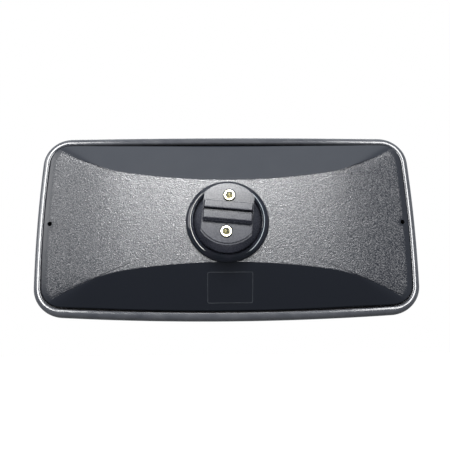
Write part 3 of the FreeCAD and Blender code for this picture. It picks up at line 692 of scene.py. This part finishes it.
# (inset, depth from the rim surface) round the gasket: outer side, back roll, grip, front lip
EDGE_SECTION = smooth_path([
    (0.0, -1.5), (0.12, 1.0), (0.7, 3.5), (1.8, 5.3), (3.2, 6.45), (4.8, 7.05), (6.2, 7.2), (7.4, 6.9),
    (8.0, 6.1), (8.2, 4.8), (8.2, 3.2), (7.0, 2.7), (7.0, 2.7), (4.0, 0.0), (4.0, 0.0), (4.0, -4.95),
    (4.0, -4.95), (7.15, -5.05), (7.15, -5.05), (6.9, -5.9), (5.9, -6.45), (4.2, -6.6), (2.3, -6.2),
    (0.9, -5.2), (0.2, -3.6),
], 4, closed=True)
edge = rim_sweep("edge_profile", EDGE_SECTION, EDGE, "edge_gasket")

PANE_RINGS = 70
PANE_HUB = 0.004
PANE_SHARP = 30.0


def build_pane():
    """Convex glass: a fine front face, a ground edge and the back."""
    edge_x, edge_z = outline(GLASS_INSET)
    count = len(edge_x)
    points = []
    back_rings = PANE_RINGS // 2
    front = [(PANE_HUB + (1 - PANE_HUB) * ring / PANE_RINGS, GLASS_FRONT) for ring in range(PANE_RINGS + 1)]
    back = [(1 - (1 - PANE_HUB) * ring / back_rings, GLASS_BACK) for ring in range(back_rings + 1)]
    for share, offset in front + back:
        x = edge_x * share
        z = edge_z * share
        points.append(head_points(x, z, rim_depth(x, z, offset)))
    faces = [tuple(reversed(f)) for f in ring_faces(len(points), count)]
    faces.append(tuple(range(count)))
    last = (len(points) - 1) * count
    faces.append(tuple(last + i for i in reversed(range(count))))
    pane = new_object("mirror_pane", np.concatenate(points), faces, MIRROR, "mirror_head", ["mirror_glass"])
    sharpen(pane, PANE_SHARP)
    return pane


pane = build_pane()


# ---------------------------------------------------------------- collar

# (radius, height) from the joint centre: spigot, outer wall, crest and lip, then the hidden inside
COLLAR_PROFILE = [(39.9, 10.8), (39.9, 15.3)] + smooth_path([
    (40.55, 15.45), (40.5, 16.2), (39.9, 17.5), (38.4, 18.85), (36.6, 19.7), (34.8, 20.0), (33.7, 19.75),
    (33.0, 18.95), (32.65, 17.9), (32.6, 17.4),
], 6) + [(32.9, 16.7), (34.2, 16.0), (36.4, 14.6), (37.4, 13.0), (38.0, 11.4)]
COLLAR_SEGMENTS = 256
collar = lathe("collar_ring", COLLAR_PROFILE, GLOSS, "mirror_head", JOINT, COLLAR_SEGMENTS, ["socket_collar"])


# ---------------------------------------------------------------- threaded inserts

INSERT_RADIUS = 5.4
INSERT_PROUD = 1.0
INSERT_BURIED = 12.5
INSERT_ROUND = 0.7
INSERT_SEGMENTS = 96
INSERT_SHARP = 25.0
AXIS_GAP = 0.02
BORE_FLOOR = -10.0
THREAD_MINOR = 2.5
THREAD_DEEP = 0.45
THREAD_PITCH = 1.0
THREAD_SHAPE = ((0.0, 0.0), (0.15, 0.0), (0.5, THREAD_DEEP), (0.85, 0.0))
MOUTH_CHAMFER = 1.2
MOUTH_EASE = (0.2, 0.1)


def insert_profile():
    """Turned bush: rounded rim, wide countersink, threaded blind bore."""
    rim = INSERT_PROUD
    shoulder = rim - INSERT_ROUND
    round_steps = 5
    points = [(AXIS_GAP, -INSERT_BURIED), (INSERT_RADIUS, -INSERT_BURIED), (INSERT_RADIUS, shoulder)]
    points += arc((INSERT_RADIUS - INSERT_ROUND, shoulder), INSERT_ROUND, 15, 90, round_steps)
    points.append((THREAD_MINOR + MOUTH_CHAMFER + MOUTH_EASE[0], rim))
    points.append((THREAD_MINOR + MOUTH_CHAMFER, rim - MOUTH_EASE[1]))
    height = rim - MOUTH_CHAMFER
    while height - THREAD_PITCH > BORE_FLOOR:
        points += [(THREAD_MINOR + deep, height - THREAD_PITCH * share) for share, deep in THREAD_SHAPE]
        height -= THREAD_PITCH
    points.append((THREAD_MINOR, BORE_FLOOR))
    points.append((AXIS_GAP, BORE_FLOOR))
    return points


UP_THE_FACE = Vector((math.sin(BALL_ROLL), math.cos(BALL_ROLL) * math.sin(BALL_PITCH),
                      math.cos(BALL_ROLL) * math.cos(BALL_PITCH)))
FACE_TURN = Matrix.Rotation(-BALL_PITCH, 4, "X")
for node_name, side in (("insert_upper", 1), ("insert_lower", -1)):
    bush = lathe(node_name + "_turned", insert_profile(), BRASS, "arm_mount",
                 UP_THE_FACE * side * INSERT_OFFSET * MM, INSERT_SEGMENTS, [node_name], FACE_TURN)
    sharpen(bush, INSERT_SHARP)


# ---------------------------------------------------------------- raised line round the rating plate

PLATE_LEFT = -19.5
PLATE_RIGHT = 24.0
PLATE_TOP = -50.5
PLATE_BOTTOM = -78.7
PLATE_CORNER = 1.5
PLATE_CORNER_STEPS = 8
BEAD_WIDTH = 0.9
BEAD_HEIGHT = 0.05
# across the bead: (share of its width, share of its height)
BEAD_PROFILE = ((-0.5, -0.1), (-0.35, 0.55), (-0.15, 0.95), (0.15, 0.95), (0.35, 0.55), (0.5, -0.1))


def build_bead():
    """A low rounded bead that follows a rounded rectangle over the flank."""
    right = PLATE_RIGHT - PLATE_CORNER
    left = PLATE_LEFT + PLATE_CORNER
    top = PLATE_TOP - PLATE_CORNER
    bottom = PLATE_BOTTOM + PLATE_CORNER
    line = []
    turns = ((right, top, 0), (left, top, 90), (left, bottom, 180), (right, bottom, 270))
    for centre_x, centre_z, start in turns:
        for step in range(PLATE_CORNER_STEPS + 1):
            angle = math.radians(start + 90 * step / PLATE_CORNER_STEPS)
            line.append((centre_x + PLATE_CORNER * math.cos(angle), centre_z + PLATE_CORNER * math.sin(angle),
                         math.cos(angle), math.sin(angle)))
    line_x, line_z, out_x, out_z = np.array(line).T
    points = []
    for share, rise in BEAD_PROFILE:
        x = line_x + out_x * share * BEAD_WIDTH
        z = line_z + out_z * share * BEAD_WIDTH
        points.append(head_points(x, z, flank_surface(x, z) + rise * BEAD_HEIGHT))
    faces = ring_faces(len(points), len(line))
    bead = new_object("plate_frame", np.concatenate(points), faces, LINE, "mirror_head")


build_bead()


# ---------------------------------------------------------------- pieces kept from the frame

KEPT = {
    "swivel_ball": (SATIN, "ball_plastic"),
    "dust_seal": (RUBBER, "rubber"),
    "socket_liner": (BEARING, "bearing_plastic"),
    "pressure_cup": (BEARING, "bearing_plastic"),
    "pressure_spring": (SPRING, "spring_steel"),
    "retaining_plate": (STEEL, "steel"),
    "backing_film": (FILM, "film"),
    "seal_tape": (FOAM, "foam_tape"),
}
for number in range(1, 5):
    KEPT["plate_washer_%d" % number] = (STEEL, "steel")
    KEPT["plate_screw_%d" % number] = (STEEL, "steel")
for node_name, (finish, slot_name) in KEPT.items():
    part = frame["nodes"][node_name]
    part.data.materials.clear()
    part.data.materials.append(finish)


# ---------------------------------------------------------------- camera, lights, floor

# the camera stands this many millimetres from the middle of the rim; angles turn the head in its view
VIEW_DISTANCE = 500.0
VIEW_UP = math.radians(13.3)
VIEW_SIDE = math.radians(1.05)
VIEW_ROLL = math.radians(0.56)
VIEW_OFFSET = (1.91, -1.80)
LENS = 38.78
SENSOR_WIDTH = 36.0
NEAR_CLIP = 0.01


def head_vector(x, up, depth):
    """Right, up and back of the head as a scene vector."""
    return Vector((x, -depth, up))


turn_side = Matrix.Rotation(VIEW_SIDE, 3, "Y")
turn_up = Matrix.Rotation(-VIEW_UP, 3, "X")
turn_roll = Matrix.Rotation(VIEW_ROLL, 3, "Z")
view = turn_roll @ turn_up @ turn_side
eye = view.transposed() @ Vector((-VIEW_OFFSET[0], -VIEW_OFFSET[1], VIEW_DISTANCE))

camera_data = bpy.data.cameras.new("camera")
camera = bpy.data.objects.new("camera", camera_data)
bpy.context.scene.collection.objects.link(camera)
camera_data.sensor_width = SENSOR_WIDTH
camera_data.lens = LENS
camera_data.clip_start = NEAR_CLIP
axes = [head_vector(*row) for row in view]
place = RIM_ORIGIN + head_vector(*eye) * MM
camera.matrix_world = Matrix.Translation(place) @ Matrix(axes).transposed().to_4x4()
bpy.context.scene.camera = camera


def area_light(name, side, up, distance, width, height, power, colour):
    """A softbox facing the head from distance, at the angles side (to the right of the back) and up."""
    data = bpy.data.lights.new(name, "AREA")
    data.shape = "RECTANGLE"
    data.size = width
    data.size_y = height
    data.energy = power
    data.color = colour
    lamp = bpy.data.objects.new(name, data)
    bpy.context.scene.collection.objects.link(lamp)
    a = math.radians(side)
    e = math.radians(up)
    away = Vector((math.sin(a) * math.cos(e), -math.cos(a) * math.cos(e), math.sin(e)))
    lamp.location = RIM_ORIGIN + away * distance
    lamp.rotation_mode = "QUATERNION"
    lamp.rotation_quaternion = away.to_track_quat("Z", "Y")
    return lamp


def light_only(lamp, pieces, skip=False):
    """Let a lamp reach only these pieces, or every piece but these."""
    group = bpy.data.collections.new(lamp.name + "_pieces")
    for piece in pieces:
        group.objects.link(piece)
    if skip:
        for entry in group.collection_objects:
            entry.light_linking.link_state = "EXCLUDE"
    lamp.light_linking.receiver_collection = group


ball = frame["nodes"]["swivel_ball"]
WHITE = (1.0, 1.0, 1.0)
ONLY = "only"
SKIP = "skip"
# name, side, up, distance, width, height, power, colour, how the lamp treats these pieces, the pieces
LAMPS = (
    ("key", -2, 38, 1.1, 0.34, 0.30, 38.0, WHITE, SKIP, [edge]),
    ("panel", 0, 15, 1.1, 0.42, 0.36, 5.0, WHITE, SKIP, [collar, ball, edge]),
    ("left_bank", -27, 14, 1.1, 0.40, 0.9, 45.0, WHITE, ONLY, [edge]),
    ("right_bank", 27, 14, 1.1, 0.40, 0.9, 34.0, WHITE, ONLY, [edge]),
    ("overhead", 0, 74, 1.0, 1.2, 0.5, 1.6, (0.90, 0.95, 1.0), SKIP, []),
    ("left_window", -52, 18, 1.2, 0.6, 0.6, 6.0, WHITE, SKIP, []),
    ("front_fill", 180, 25, 1.4, 1.2, 0.8, 10.0, WHITE, SKIP, [pane]),
    ("left_strip", -26, 10, 1.1, 0.12, 1.2, 20.0, (1.0, 1.0, 0.94), ONLY, [collar]),
    ("right_strip", 26, 10, 1.1, 0.12, 1.2, 15.0, (0.85, 0.95, 1.0), ONLY, [collar]),
    ("low_fill", 0, -55, 0.5, 0.4, 0.2, 3.5, (0.93, 0.93, 1.0), ONLY, [ball]),
)
for *setup, treatment, pieces in LAMPS:
    lamp = area_light(*setup)
    if pieces:
        light_only(lamp, pieces, skip=treatment == SKIP)

# the camera sees a white backdrop; everything else is lit by a pale sky, dim below and brighter above
BACKDROP = (1.0, 1.0, 1.0, 1.0)
SKY = (0.85, 0.92, 1.0, 1.0)
SKY_BAND = 0.6
SKY_LOW = 0.17
SKY_HIGH = 0.60
world = bpy.data.worlds.new("studio")
bpy.context.scene.world = world
world.use_nodes = True
tree = world.node_tree
backdrop = tree.nodes["Background"]
backdrop.inputs["Color"].default_value = BACKDROP
ambient = tree.nodes.new("ShaderNodeBackground")
ambient.inputs["Color"].default_value = SKY
direction = tree.nodes.new("ShaderNodeTexCoord")
height = tree.nodes.new("ShaderNodeSeparateXYZ")
tree.links.new(direction.outputs["Generated"], height.inputs[0])
level = tree.nodes.new("ShaderNodeMapRange")
tree.links.new(height.outputs["Z"], level.inputs["Value"])
level.inputs["From Min"].default_value = -SKY_BAND
level.inputs["From Max"].default_value = SKY_BAND
level.inputs["To Min"].default_value = SKY_LOW
level.inputs["To Max"].default_value = SKY_HIGH
tree.links.new(level.outputs["Result"], ambient.inputs["Strength"])
rays = tree.nodes.new("ShaderNodeLightPath")
mix = tree.nodes.new("ShaderNodeMixShader")
tree.links.new(rays.outputs["Is Camera Ray"], mix.inputs[0])
tree.links.new(ambient.outputs[0], mix.inputs[1])
tree.links.new(backdrop.outputs[0], mix.inputs[2])
tree.links.new(mix.outputs[0], tree.nodes["World Output"].inputs["Surface"])

# metres: the floor's depth under the joint and half its width
FLOOR_DROP = 0.5
FLOOR_SIZE = 12.0
FLOOR_GLOW = 0.8
paper = Surface("floor_paper", (0.9, 0.9, 0.9), 0.8)
paper.tint(paper.noise(300.0, 2.0), (0.88, 0.88, 0.88), (0.92, 0.92, 0.92))
paper.shader.inputs["Emission Color"].default_value = BACKDROP
paper.shader.inputs["Emission Strength"].default_value = FLOOR_GLOW
floor_mesh = bpy.data.meshes.new("floor")
corners = ((-1, -1), (1, -1), (1, 1), (-1, 1))
level_z = JOINT.z - FLOOR_DROP
floor_mesh.from_pydata([(x * FLOOR_SIZE, y * FLOOR_SIZE, level_z) for x, y in corners], [], [(0, 1, 2, 3)])
floor = bpy.data.objects.new("floor", floor_mesh)
floor_mesh.materials.append(paper.material)
bpy.context.scene.collection.objects.link(floor)
floor.visible_diffuse = False
floor.visible_glossy = False

bpy.context.scene.view_settings.view_transform = "Standard"
